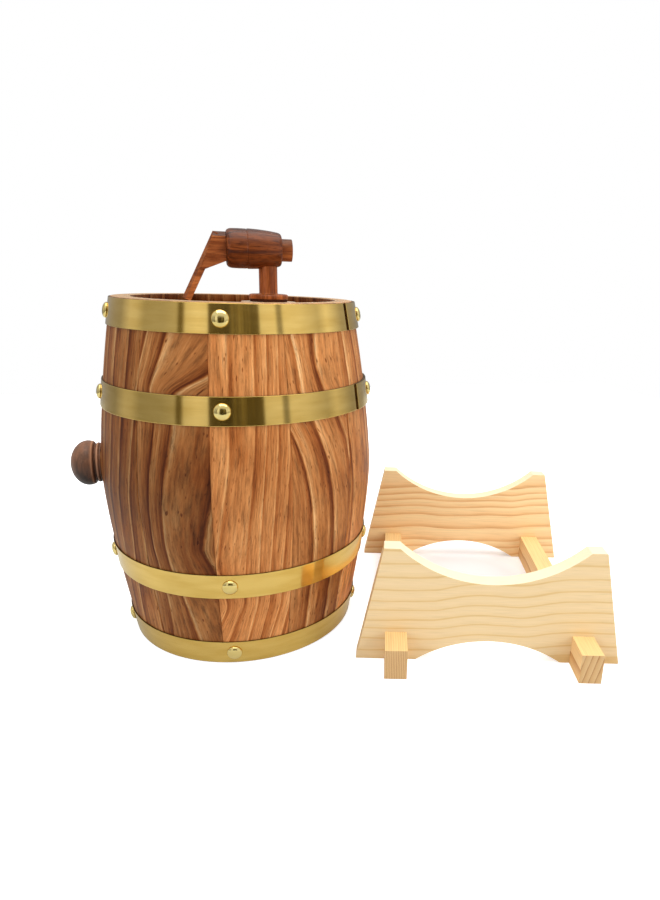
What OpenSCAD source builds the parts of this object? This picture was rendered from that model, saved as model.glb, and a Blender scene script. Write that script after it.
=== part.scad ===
// Small stave cask with a turned wooden tap, a bung and a two-board cradle stand.
// Units: mm.  +Z up.  The cask stands on its back end; its axis is Z and the
// foot plane is z = 0.  The bung points along -X, the tap's spout along +X.
// In use the cask is laid on the stand with -X upwards.

/* [Cask] */
// overall height of the cask, end to end
cask_h = 260; // [200:1:320]
// outer radius of the staves at the middle
bilge_r = 104.8; // [98:0.1:112]
// outer radius of the staves at the two ends
chime_r = 88.4; // [82:0.1:94]
// exponent of the bulge, 2 is a parabola
bulge_pow = 1.46; // [1.2:0.01:2]
// stave thickness
stave_t = 13.5; // [12:0.1:16]
// number of staves round the cask
stave_n = 12; // [12:1:12]
// gap left at each stave seam
seam_gap = 0.1; // [0.05:0.05:0.4]

/* [Heads] */
// depth of the head's outer face below the rim
head_recess = 8; // [6:0.5:12]
// thickness of a head
head_t = 12; // [10:0.5:14]
// how far the head reaches past the inner wall into its groove
croze_d = 4.05; // [3:0.05:5]
// boards in each head
head_boards = 5; // [5:1:5]

/* [Hoops] */
// width of a hoop strip
hoop_w = 19; // [15:0.5:22]
// thickness of a hoop strip
hoop_t = 1; // [0.6:0.1:1.4]
// distance of an end hoop from the cask's end
end_inset = 0.4; // [0.3:0.1:3]
// distance of the inner hoops' centres from mid height
inner_off = 62.3; // [55:0.1:68]
// azimuth at the middle of the lap where the strip's ends overlap, two upper hoops
lap_az = -20; // [-22:1:-16]
// angle the lap covers
lap_deg = 32; // [26:1:34]

/* [Nails] */
// radius of a dome nail's head
nail_r = 5.6; // [4:0.1:6]
// height of the dome
nail_h = 2.9; // [2:0.1:3.5]
// radius of the nail's pin
pin_r = 0.85; // [0.6:0.05:1]
// length of the pin
pin_l = 7; // [5:0.5:9]
// azimuth of the nail that faces the viewer
nail_front = -100; // [-103:1:-92]
// azimuth of the nail on the left
nail_left = -172.5; // [-175:0.5:-168]
// azimuth of the nail on the right, through the upper hoops' laps
nail_right = -13; // [-13:1:-9]

/* [Bung] */
// height of the bung's axis
bung_z = 135; // [128:0.5:136]
// radius of the bung's plug
bung_r = 10.9; // [9:0.1:12]
// how far the plug reaches inwards from the seat
bung_in = 18; // [15:0.5:24]
// depth of the flat seat below the bilge line
seat_in = 1; // [1:0.1:1.5]
// radius of the flat seat turned round the bung hole
seat_r = 15.6; // [15.4:0.1:18]
// largest radius of the bung's knob
knob_r = 17.2; // [15:0.1:17.6]
// how far the knob stands out from the bilge line
knob_out = 21.8; // [16:0.1:26]

/* [Tap] */
// distance of the tap's shank from the cask's axis
tap_x = 24.6; // [22:0.1:40]
// height of the tap barrel's axis above the rim
tap_rise = 35.8; // [34:0.1:42]
// radius of the pale disc under the tap
boss_r = 20.9; // [17:0.1:22]
// thickness of the pale disc
boss_t = 5.5; // [4:0.1:7]
// radius of the washer
gasket_r = 14.1; // [12:0.1:14.8]
// thickness of the washer
gasket_t = 1.9; // [1.5:0.1:2.5]
// radius of the flange
flange_r = 15; // [13:0.1:17]
// thickness of the flange
flange_t = 3.8; // [3:0.1:5]
// radius of the shank
shank_r = 7; // [6:0.1:7.4]
// radius of the shank's tenon through the head
tenon_r = 8; // [7.6:0.1:9]
// length of the tenon below the head
tenon_l = 14; // [8:0.5:20]
// radius of the waterway
water_r = 3; // [2:0.1:3.5]
// largest radius of the barrel
barrel_r = 14.5; // [13:0.1:16]
// length of the barrel
barrel_l = 40.6; // [38:0.1:44]
// distance from the barrel's key end to the shank
key_end = 30.6; // [26:0.1:32]
// radius of the key's plug inside the barrel
plug_r = 8.5; // [8.3:0.1:9]
// running clearance round the plug
plug_gap = 0.06; // [0.03:0.01:0.1]
// radius of the spout
spout_r = 8.2; // [7:0.1:8.3]
// length of the spout past the barrel
spout_l = 8.1; // [6:0.1:12]
// radius of the spout's outlet
outlet_r = 4.5; // [3:0.1:5.5]
// radius of the key block's round top
key_r = 11.6; // [10:0.1:12]
// width of the key block
key_w = 17.2; // [15:0.1:19]
// how far the key block reaches past the barrel
key_out = 9.2; // [8:0.1:11]
// height of the key block's top over the barrel's axis
key_up = 11.4; // [10:0.1:11.6]
// thickness of the key's lever
lever_t = 6.2; // [5:0.1:7]
// width of the key's lever
lever_w = 14; // [10:0.5:16]
// drop of the lever from its top corner to its tip
lever_drop = 47.4; // [42:0.1:50]
// lean of the lever, tip out from top corner
lever_lean = 23.6; // [18:0.1:28]

/* [Stand] */
// width of a cradle board at the floor
stand_wb = 200.8; // [190:0.2:210]
// width of a cradle board at the top
stand_wt = 162.6; // [156:0.2:170]
// height of a cradle board
stand_h = 90.9; // [84:0.1:98]
// thickness of a cradle board
board_t = 13.5; // [11:0.1:16]
// front face of one board to front face of the other
stand_d = 186.3; // [170:0.1:200]
// width of the flat at each top corner
flat_w = 11.7; // [9:0.1:14]
// depth of the saddle curve
saddle_h = 27; // [22:0.1:30]
// width of the arch between the feet
arch_w = 110; // [95:1:114]
// height of the arch between the feet
arch_h = 16.9; // [12:0.1:20]
// distance of a rail's centre line from the middle
rail_x = 70.6; // [68:0.1:74]
// width of a rail
rail_w = 16.3; // [12:0.1:18]
// height of a rail
rail_h = 23.1; // [18:0.1:26]
// how far a rail sticks out past a board
rail_out = 24.9; // [15:0.1:32]
// position of the stand, X
stand_x = 168.4; // [166:0.1:200]
// position of the stand, Y
stand_y = -133.4; // [-145:0.1:-120]
// turn of the stand about Z
stand_az = -16.8; // [-20:0.1:-10]

/* [Hidden] */
$fn = 96;
fit_gap = 0.05;                        // between parts that are seated or glued
lap_gap = 0.1;                         // round the half laps of the stand
half_h = cask_h / 2;
stave_a = 360 / stave_n;
seam_a = seam_gap / bilge_r * 180 / PI;
wood_red = [0.62, 0.36, 0.20];
wood_tap = [0.50, 0.22, 0.10];
wood_dark = [0.25, 0.15, 0.10];
wood_pale = [0.90, 0.72, 0.48];
brass = [0.80, 0.65, 0.30];

// outer radius of the staves at height z
function rad(z) = bilge_r - (bilge_r - chime_r) * pow(abs(2 * z / cask_h - 1), bulge_pow);

// lower edge of hoop i, counted from the top
function hz(i) = i == 1 ? cask_h - end_inset - hoop_w
               : i == 2 ? half_h + inner_off - hoop_w / 2
               : i == 3 ? half_h - inner_off - hoop_w / 2
               : end_inset;
function slope(i) = atan2(rad(hz(i)) - rad(hz(i) + hoop_w), hoop_w);
// azimuth of nail j: three seen, two spaced over the hidden back
function nail_az(j) = j == 0 ? nail_front : j == 1 ? nail_left : j == 2 ? nail_right
                    : nail_right + (j - 2) * (360 - (nail_right - nail_left)) / 3;
function wrap(a) = a - 360 * floor((a + 180) / 360);
// middle of hoop i's lap: the two lower hoops lap behind, at a hidden nail
function lap_at(i) = i < 3 ? lap_az : nail_az(3);
function in_lap(i, j) = abs(wrap(nail_az(j) - lap_at(i))) < lap_deg / 2;

// heights where the staves' outer faces bend; the hoops lie on flat spans
z_low = [0, hz(4), hz(4) + hoop_w];
z_a = [for (k = [1 : 3]) hz(4) + hoop_w + k * (hz(3) - hz(4) - hoop_w) / 4];
z_b = [hz(3), hz(3) + hoop_w];
z_m = [for (k = [1 : 7]) hz(3) + hoop_w + k * (hz(2) - hz(3) - hoop_w) / 8];
z_c = [hz(2), hz(2) + hoop_w];
z_d = [for (k = [1 : 3]) hz(2) + hoop_w + k * (hz(1) - hz(2) - hoop_w) / 4];
z_top = [hz(1), hz(1) + hoop_w, cask_h];
z_out = concat(z_low, z_a, z_b, z_m, z_c, z_d, z_top);
g_lo = head_recess;                    // back groove, lower edge
g_hi = head_recess + head_t;           // back groove, upper edge
z_in = [for (k = [9 : -1 : 1]) g_hi + k * (cask_h - 2 * g_hi) / 10];
function inner(z) = rad(z) - stave_t;
croze_r = inner(head_recess) + croze_d; // radius of both grooves' floors

module stave_section()
  polygon(concat(
    [for (z = z_out) [rad(z), z]],
    [[inner(cask_h), cask_h], [inner(cask_h - g_lo), cask_h - g_lo],
     [croze_r, cask_h - g_lo], [croze_r, cask_h - g_hi],
     [inner(cask_h - g_hi), cask_h - g_hi]],
    [for (z = z_in) [inner(z), z]],
    [[inner(g_hi), g_hi], [croze_r, g_hi], [croze_r, g_lo],
     [inner(g_lo), g_lo], [inner(0), 0]]));

// places its children on hoop i at azimuth az, +X pointing out of the strip
module on_hoop(i, az, up)
  rotate([0, 0, az])
    translate([(rad(hz(i)) + rad(hz(i) + hoop_w)) / 2, 0, hz(i) + hoop_w / 2])
      rotate([0, -slope(i), 0])
        translate([fit_gap + hoop_t + up, 0, 0]) children();

module pin_hole(i, j)
  on_hoop(i, nail_az(j), 0)
    rotate([0, -90, 0]) translate([0, 0, -nail_h]) cylinder(r = pin_r + fit_gap, h = pin_l + 2 * nail_h, $fn = 24);

module stave(k)
  color(wood_red)
  difference() {
    rotate([0, 0, k * stave_a - stave_a / 2 + seam_a / 2])
      rotate_extrude(angle = stave_a - seam_a) stave_section();
    for (i = [1 : 4], j = [0 : 4])
      if (abs(wrap(nail_az(j) - k * stave_a)) < stave_a / 2) pin_hole(i, j);
    if (k * stave_a == 180) {
      translate([-bilge_r - stave_t, 0, bung_z]) rotate([0, 90, 0])
        cylinder(r = bung_r + fit_gap, h = 3 * stave_t);
      translate([-bilge_r - stave_t, 0, bung_z]) rotate([0, 90, 0])
        cylinder(r = seat_r, h = stave_t + seat_in);
    }
  }

// one head, lower face at z = 0, cut into parallel boards; board m of head_boards
module head_board(m, bored)
  difference() {
    intersection() {
      translate([0, 0, fit_gap]) cylinder(r = croze_r - fit_gap, h = head_t - 2 * fit_gap);
      translate([-bilge_r, -croze_r + m * 2 * croze_r / head_boards + fit_gap, -1])
        cube([2 * bilge_r, 2 * croze_r / head_boards - 2 * fit_gap, head_t + 2]);
    }
    if (bored)
      translate([tap_x, 0, -1]) cylinder(r = tenon_r + fit_gap, h = head_t + 2);
  }

module front_board(m)
  color(wood_red) translate([0, 0, cask_h - head_recess - head_t])
    head_board(m, m == 2);

module back_board(m)
  color(wood_red) translate([0, 0, head_recess]) head_board(m, false);

function flat_rad(i, z) = rad(hz(i)) + (rad(hz(i) + hoop_w) - rad(hz(i))) * (z - hz(i)) / hoop_w;

module strip_section(i, d0, d1, inset)
  polygon([[flat_rad(i, hz(i) + inset) + d0, hz(i) + inset],
           [flat_rad(i, hz(i) + inset) + d1, hz(i) + inset],
           [flat_rad(i, hz(i) + hoop_w - inset) + d1, hz(i) + hoop_w - inset],
           [flat_rad(i, hz(i) + hoop_w - inset) + d0, hz(i) + hoop_w - inset]]);

module hoop(i)
  color(brass)
  difference() {
    union() {
      rotate_extrude() strip_section(i, fit_gap, fit_gap + hoop_t, 0);
      rotate([0, 0, lap_at(i) - lap_deg / 2])
        rotate_extrude(angle = lap_deg)
          strip_section(i, fit_gap + hoop_t / 2, fit_gap + 2 * hoop_t, hoop_t / 5);
    }
    for (j = [0 : 4]) pin_hole(i, j);
  }

module nail(up)
  rotate([0, 90, 0]) {
    rotate_extrude($fn = 32)
      polygon([[0, nail_h * 0.035], [nail_r * 0.965, nail_h * 0.035], [nail_r, nail_h * 0.12], [nail_r * 0.93, nail_h * 0.42],
               [nail_r * 0.74, nail_h * 0.73], [nail_r * 0.45, nail_h * 0.93], [0, nail_h]]);
    translate([0, 0, -pin_l]) cylinder(r = pin_r, h = pin_l + nail_h / 5, $fn = 24);
  }

module nails(i)
  color(brass)
  for (j = [0 : 4])
    on_hoop(i, nail_az(j), in_lap(i, j) ? hoop_t : 0) nail();

// turned bung, revolved about X, knob towards -X
module bung()
  color(wood_dark)
  translate([0, 0, bung_z]) rotate([0, -90, 0])
    rotate_extrude()
      polygon([[0, bilge_r - seat_in - bung_in],
               [bung_r * 0.89, bilge_r - seat_in - bung_in],
               [bung_r, bilge_r - seat_in - bung_in * 0.915],
               [bung_r, bilge_r - seat_in + fit_gap],
               [knob_r * 0.849, bilge_r - seat_in + fit_gap],
               [knob_r * 0.849, bilge_r + knob_out * 0.018],
               [knob_r * 0.878, bilge_r + knob_out * 0.05],
               [knob_r * 0.89, bilge_r + knob_out * 0.087],
               [knob_r * 0.872, bilge_r + knob_out * 0.124],
               [knob_r * 0.831, bilge_r + knob_out * 0.156],
               [knob_r * 0.826, bilge_r + knob_out * 0.183],
               [knob_r * 0.907, bilge_r + knob_out * 0.216],
               [knob_r * 0.953, bilge_r + knob_out * 0.261],
               [knob_r * 0.988, bilge_r + knob_out * 0.349],
               [knob_r, bilge_r + knob_out * 0.44],
               [knob_r * 0.977, bilge_r + knob_out * 0.56],
               [knob_r * 0.907, bilge_r + knob_out * 0.688],
               [knob_r * 0.779, bilge_r + knob_out * 0.807],
               [knob_r * 0.593, bilge_r + knob_out * 0.908],
               [knob_r * 0.36, bilge_r + knob_out * 0.972],
               [knob_r * 0.151, bilge_r + knob_out * 0.995],
               [0, bilge_r + knob_out]]);

// ---- tap ------------------------------------------------------------------
head_z = cask_h - head_recess;         // outer face of the front head
flange_z = head_z + boss_t + gasket_t + 2 * fit_gap;
axis_z = cask_h + tap_rise;            // axis of the tap barrel and its key
barrel_x0 = tap_x - key_end;           // key end of the barrel
barrel_x1 = barrel_x0 + barrel_l;      // spout end of the barrel
spout_x = barrel_x1 + spout_l;         // end of the spout
shank_up = 0.8138 * barrel_r;          // how far under the axis the shank ends
shank_top = axis_z - shank_up;

module tap_boss()
  color(wood_pale) translate([tap_x, 0, head_z + fit_gap])
    difference() {
      cylinder(r = boss_r, h = boss_t - fit_gap);
      translate([0, 0, -1]) cylinder(r = tenon_r + fit_gap, h = boss_t + 2);
    }

module tap_gasket()
  color([0.08, 0.08, 0.08]) translate([tap_x, 0, head_z + boss_t + fit_gap])
    difference() {
      cylinder(r = gasket_r, h = gasket_t);
      translate([0, 0, -1]) cylinder(r = tenon_r + fit_gap, h = gasket_t + 2);
    }

module tap_shank()
  color(wood_tap) translate([tap_x, 0, 0])
    rotate_extrude()
      polygon([[water_r, head_z - head_t - tenon_l], [tenon_r * 0.8, head_z - head_t - tenon_l],
               [tenon_r, head_z - head_t - tenon_l * 0.43], [tenon_r, flange_z + fit_gap],
               [flange_r * 0.973, flange_z + fit_gap], [flange_r, flange_z + flange_t * 0.158],
               [flange_r, flange_z + flange_t * 0.737], [flange_r * 0.96, flange_z + flange_t * 0.947],
               [flange_r * 0.893, flange_z + flange_t], [shank_r, flange_z + flange_t],
               [shank_r, shank_top], [water_r, shank_top]]);

module tap_barrel()
  color(wood_tap)
  difference() {
    translate([0, 0, axis_z]) rotate([0, 90, 0])
      rotate_extrude()
        polygon([[plug_r + plug_gap, barrel_x0], [barrel_r * 0.814, barrel_x0],
                 [barrel_r * 0.897, barrel_x0 + barrel_l * 0.02],
                 [barrel_r * 0.952, barrel_x0 + barrel_l * 0.054],
                 [barrel_r * 0.979, barrel_x0 + barrel_l * 0.099],
                 [barrel_r * 0.986, barrel_x0 + barrel_l * 0.3645],
                 [barrel_r * 0.966, barrel_x0 + barrel_l * 0.372],
                 [barrel_r, barrel_x0 + barrel_l * 0.382],
                 [barrel_r * 0.986, barrel_x0 + barrel_l * 0.542],
                 [barrel_r * 0.931, barrel_x0 + barrel_l * 0.764],
                 [barrel_r * 0.869, barrel_x0 + barrel_l * 0.931],
                 [barrel_r * 0.834, barrel_x0 + barrel_l * 0.97],
                 [barrel_r * 0.766, barrel_x1], [plug_r + plug_gap, barrel_x1]]);
    translate([tap_x, 0, axis_z - shank_up - barrel_r])
      cylinder(r = shank_r + fit_gap, h = barrel_r + fit_gap);
    translate([tap_x, 0, axis_z - barrel_r]) cylinder(r = water_r, h = barrel_r);
  }

// the lever's outer line runs from its top corner to its tip
lev_a = [barrel_x0 - key_out, axis_z + key_up];
lev_b = lev_a - [lever_lean, lever_drop];
lev_l = norm(lev_b - lev_a);
lev_deg = atan2(lev_b[0] - lev_a[0], lev_a[1] - lev_b[1]);
key_gap = 0.3;                         // between the key block and the barrel
key_foot = barrel_x0 - key_gap;        // the block's face beside the barrel

module key_block()
  intersection() {
    rotate([90, 0, 0]) translate([0, 0, -key_w]) linear_extrude(2 * key_w)
      polygon([[key_foot, axis_z + key_up], lev_a + [lever_t * 0.1, 0],
               lev_a + 0.56 * (lev_b - lev_a) + lever_t * [0.613, -0.145],
               lev_a + 0.56 * (lev_b - lev_a) + lever_t * [1.032, -0.097],
               [key_foot, axis_z - key_up * 0.825]]);
    union() {
      intersection() {
        translate([barrel_x0 - lever_drop, 0, axis_z]) rotate([0, 90, 0]) cylinder(r = key_r, h = 2 * lever_drop);
        translate([barrel_x0 - lever_drop, -key_w / 2, axis_z]) cube([2 * lever_drop, key_w, lever_drop]);
      }
      translate([barrel_x0 - lever_drop, -key_w / 2, axis_z - lever_drop])
        cube([2 * lever_drop, key_w, lever_drop + 0.01]);
    }
  }

module key_lever()
  translate([lev_a[0], 0, lev_a[1]]) rotate([0, -lev_deg + 180, 0])
    mirror([1, 0, 0])
    linear_extrude(lev_l)
      polygon([[0, -lever_w * 0.314], [0, lever_w * 0.314], [lever_t * 0.387, lever_w / 2],
               [lever_t, lever_w / 2], [lever_t, -lever_w / 2], [lever_t * 0.387, -lever_w / 2]]);

module tap_key()
  color(wood_tap)
  difference() {
    union() {
      translate([key_foot - key_out / 2, 0, axis_z]) rotate([0, 90, 0])
        cylinder(r = plug_r, h = barrel_x1 + 0.1 - key_foot + key_out / 2);
      translate([barrel_x1 - plug_r, 0, axis_z]) rotate([0, 90, 0])
        cylinder(r = spout_r, h = spout_x - barrel_x1 + plug_r);
      key_block();
      key_lever();
    }
    translate([tap_x, 0, axis_z]) rotate([0, 90, 0]) cylinder(r = outlet_r, h = barrel_l);
    translate([tap_x, 0, axis_z]) rotate([90, 0, 0])
      translate([0, 0, -barrel_l]) cylinder(r = water_r, h = 2 * barrel_l);
  }

// ---- stand ----------------------------------------------------------------
half_chord = stand_wt / 2 - flat_w;
saddle_r = (pow(half_chord, 2) + pow(saddle_h, 2)) / (2 * saddle_h);
arch_r = (pow(arch_w / 2, 2) + pow(arch_h, 2)) / (2 * arch_h);

module at_stand() translate([stand_x, stand_y, 0]) rotate([0, 0, stand_az]) children();

module cradle_board(y)
  color(wood_pale) at_stand()
  translate([0, y, 0])
  difference() {
    translate([0, board_t, 0]) rotate([90, 0, 0]) linear_extrude(board_t)
      polygon([[-stand_wb / 2, 0], [stand_wb / 2, 0], [stand_wt / 2, stand_h],
               [-stand_wt / 2, stand_h]]);
    translate([0, -1, stand_h - saddle_h + saddle_r]) rotate([-90, 0, 0])
      cylinder(r = saddle_r, h = board_t + 2, $fn = 180);
    translate([0, -1, arch_h - arch_r]) rotate([-90, 0, 0])
      cylinder(r = arch_r, h = board_t + 2, $fn = 180);
    for (s = [-1, 1])
      translate([s * rail_x - rail_w / 2 - lap_gap, -1, -1])
        cube([rail_w + 2 * lap_gap, board_t + 2, 1 + rail_h / 2 + lap_gap]);
  }

module stand_rail(s)
  color(wood_pale) at_stand()
  difference() {
    translate([s * rail_x - rail_w / 2, -rail_out, 0])
      cube([rail_w, stand_d + board_t + 2 * rail_out, rail_h]);
    for (y = [0, stand_d])
      translate([s * rail_x - rail_w / 2 - 1, y - lap_gap, rail_h / 2])
        cube([rail_w + 2, board_t + 2 * lap_gap, rail_h]);
  }

stave(0);  // stave_00
stave(1);  // stave_01
stave(2);  // stave_02
stave(3);  // stave_03
stave(4);  // stave_04
stave(5);  // stave_05
stave(6);  // stave_06_bung
stave(7);  // stave_07
stave(8);  // stave_08
stave(9);  // stave_09
stave(10);  // stave_10
stave(11);  // stave_11
front_board(0);  // front_head_1
front_board(1);  // front_head_2
front_board(2);  // front_head_3
front_board(3);  // front_head_4
front_board(4);  // front_head_5
back_board(0);  // back_head_1
back_board(1);  // back_head_2
back_board(2);  // back_head_3
back_board(3);  // back_head_4
back_board(4);  // back_head_5
hoop(1);  // hoop_1_top
hoop(2);  // hoop_2
hoop(3);  // hoop_3
hoop(4);  // hoop_4_foot
nails(1);  // nails_1
nails(2);  // nails_2
nails(3);  // nails_3
nails(4);  // nails_4
bung();
tap_boss();
tap_gasket();
tap_shank();
tap_barrel();
tap_key();
cradle_board(0);  // cradle_front
cradle_board(stand_d);  // cradle_back
stand_rail(-1);  // stand_rail_left
stand_rail(1);  // stand_rail_right
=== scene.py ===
import math

import bpy
import numpy as np
from mathutils import Matrix, Vector


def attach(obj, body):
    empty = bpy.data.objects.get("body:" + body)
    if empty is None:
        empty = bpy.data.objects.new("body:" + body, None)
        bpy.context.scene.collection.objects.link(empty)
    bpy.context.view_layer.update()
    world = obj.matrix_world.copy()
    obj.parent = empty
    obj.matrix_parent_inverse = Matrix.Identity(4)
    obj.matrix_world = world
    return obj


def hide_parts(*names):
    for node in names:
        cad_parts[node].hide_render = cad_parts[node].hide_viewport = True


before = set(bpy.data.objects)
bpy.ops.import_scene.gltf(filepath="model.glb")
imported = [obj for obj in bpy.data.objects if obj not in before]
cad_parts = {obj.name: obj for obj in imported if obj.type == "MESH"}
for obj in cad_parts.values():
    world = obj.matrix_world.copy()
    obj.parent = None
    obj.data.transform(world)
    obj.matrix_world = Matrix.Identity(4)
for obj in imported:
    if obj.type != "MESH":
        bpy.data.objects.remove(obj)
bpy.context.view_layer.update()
scene = bpy.context.scene
scene.view_settings.view_transform = "Standard"

# ---- Camera ------------------------------------------------------------------
# Solved from the hoops, the rim, the outline and the stand's corners. It stands
# half a metre away, a little above the rim, and looks down at 16 degrees.
cam_at = (-0.03109, -0.49824, 0.27765)
yaw, pitch, roll = (math.radians(a) for a in (-17.659, 16.051, 1.871))
focal_px, centre_px, centre_py = 614.997, 389.890, 455.588
picture_wide, picture_high, sensor_mm = 660, 900, 36
level = Vector((math.cos(yaw), math.sin(yaw), 0))
ahead = Vector((-math.sin(yaw) * math.cos(pitch), math.cos(yaw) * math.cos(pitch), -math.sin(pitch)))
over = level.cross(ahead)
right = math.cos(roll) * level + math.sin(roll) * over
up = -math.sin(roll) * level + math.cos(roll) * over
camera = bpy.data.objects.new("camera", bpy.data.cameras.new("camera"))
scene.collection.objects.link(camera)
camera.matrix_world = Matrix((
    (right.x, up.x, -ahead.x, cam_at[0]),
    (right.y, up.y, -ahead.y, cam_at[1]),
    (right.z, up.z, -ahead.z, cam_at[2]),
    (0, 0, 0, 1)))
camera.data.sensor_width = sensor_mm
camera.data.lens = focal_px * sensor_mm / picture_high
camera.data.shift_x = (picture_wide / 2 - centre_px) / picture_high
camera.data.shift_y = (centre_py - picture_high / 2) / picture_high
camera.data.clip_start = 0.01
scene.camera = camera

# ---- Staves ------------------------------------------------------------------
# Twelve staves of stained softwood, bent and jointed edge to edge. Each is sawn
# from its own piece, so rings, tone and run of the grain change at every seam.
CASK_H, BILGE_R, CHIME_R, BULGE, STAVE_T = 260.0, 104.8, 88.4, 1.46, 13.5
CROZE_R, RECESS, HEAD_T = 80.4, 8.0, 12.0
MID_Z = CASK_H / 2
STAVES, BUNG_STAVE = 12, 6
STAVE_DEG = 360 / STAVES
# how deep a stave is cut back at its ends, on the row next to them and at its inner corners
END_CUT, NEXT_CUT, INNER_CUT = 0.7, 0.2, 0.5
# how deep beside its seams, and how far from the seam that reaches
SEAM_CUT, SEAM_REACH = 0.42, 0.4


def outer_radius(z):
    """Bilge radius less a power of the distance from mid height."""
    return BILGE_R - (BILGE_R - CHIME_R) * np.abs(2 * z / CASK_H - 1) ** BULGE


def grid_faces(rows, cols, close_rows=False, close_cols=False):
    """Quads of a rows x cols grid, whose vertices are numbered row by row."""
    r = np.arange(rows if close_rows else rows - 1)
    c = np.arange(cols if close_cols else cols - 1)
    a, b = np.meshgrid(r, c, indexing="ij")
    a, b = a.ravel(), b.ravel()
    a1, b1 = (a + 1) % rows, (b + 1) % cols
    return np.stack([a * cols + b, a * cols + b1, a1 * cols + b1, a1 * cols + b], 1)


def put(name, points_mm, faces, material, body, nodes=(), smooth=True, fields=None):
    """Makes a mesh from points in millimetres, gives it its fields, rides it and stands it for its nodes."""
    mesh = bpy.data.meshes.new(name)
    mesh.from_pydata((np.asarray(points_mm, float) / 1000).tolist(), [], [list(map(int, f)) for f in faces])
    mesh.validate()
    if smooth:
        mesh.polygons.foreach_set("use_smooth", [True] * len(mesh.polygons))
    for key, values in (fields or {}).items():
        values = np.asarray(values, np.float32)
        kind = "FLOAT_VECTOR" if values.ndim == 2 else "FLOAT"
        layer = mesh.attributes.new(key, kind, "POINT")
        layer.data.foreach_set("vector" if values.ndim == 2 else "value", values.ravel())
    mesh.materials.append(material)
    piece = bpy.data.objects.new(name, mesh)
    scene.collection.objects.link(piece)
    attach(piece, body)
    if nodes:
        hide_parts(*nodes)
    return piece


def new_material(name):
    """An empty node material: its tree and its Principled shader."""
    material = bpy.data.materials.new(name)
    material.use_nodes = True
    tree = material.node_tree
    tree.nodes.clear()
    shader = tree.nodes.new("ShaderNodeBsdfPrincipled")
    out = tree.nodes.new("ShaderNodeOutputMaterial")
    tree.links.new(shader.outputs[0], out.inputs[0])
    return material, tree, shader


def node(tree, kind, inputs=None, **settings):
    """A node with its settings and inputs; an input is a value or another node's output."""
    made = tree.nodes.new(kind)
    for key, value in settings.items():
        setattr(made, key, value)
    for key, value in (inputs or {}).items():
        socket = made.inputs[key]
        if isinstance(value, bpy.types.NodeSocket):
            tree.links.new(value, socket)
        else:
            socket.default_value = value
    return made


def calc(tree, how, a, b=0.0, c=0.0, clamp=False):
    """One Math node's result."""
    return node(tree, "ShaderNodeMath", {0: a, 1: b, 2: c}, operation=how, use_clamp=clamp).outputs[0]


def ramp(tree, factor, stops, flow="LINEAR"):
    """A colour ramp from (place, colour) stops; a bare number is a grey."""
    made = node(tree, "ShaderNodeValToRGB", {0: factor})
    band = made.color_ramp
    band.interpolation = flow
    while len(band.elements) < len(stops):
        band.elements.new(0.5)
    for element, (place, colour) in zip(band.elements, stops):
        element.position = place
        element.color = (*colour, 1) if isinstance(colour, tuple) else (colour, colour, colour, 1)
    return made.outputs[0]


def blend(tree, how, factor, a, b):
    """One Mix node on colours."""
    made = node(tree, "ShaderNodeMix", data_type="RGBA", blend_type=how)
    for index, value in ((0, factor), (6, a), (7, b)):
        if isinstance(value, bpy.types.NodeSocket):
            tree.links.new(value, made.inputs[index])
        elif index == 0:
            made.inputs[0].default_value = value
        else:
            made.inputs[index].default_value = (*value, 1)
    return made.outputs[2]


def field(tree, name, output="Fac"):
    """Reads one of the fields that the piece's mesh carries."""
    return node(tree, "ShaderNodeAttribute", attribute_name=name).outputs[output]


def grained(tree, place, scale, detail=2.0, rough=0.5, warp=0.0):
    """Noise on a place, stretched by one number per axis and centred on nought."""
    moved = node(tree, "ShaderNodeMapping", {"Vector": place, "Scale": scale}).outputs[0]
    cloud = node(tree, "ShaderNodeTexNoise", {
        "Vector": moved, "Scale": 1.0, "Detail": detail, "Roughness": rough, "Distortion": warp})
    return calc(tree, "SUBTRACT", cloud.outputs["Fac"], 0.5)


def dress(tree, shader, colour, roughness, height, strength, distance):
    """Wires a colour, a roughness and a bump from a height into the shader."""
    tree.links.new(colour, shader.inputs["Base Color"])
    tree.links.new(roughness, shader.inputs["Roughness"])
    bump = node(tree, "ShaderNodeBump", {"Height": height, "Strength": strength, "Distance": distance})
    tree.links.new(bump.outputs[0], shader.inputs["Normal"])


def tint(r, g, b):
    """A colour given as it looks on screen, 0 to 255, in the linear values the shader wants."""
    return tuple(((v / 255 + 0.055) / 1.055) ** 2.4 if v > 10 else v / 255 / 12.92 for v in (r, g, b))


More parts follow.
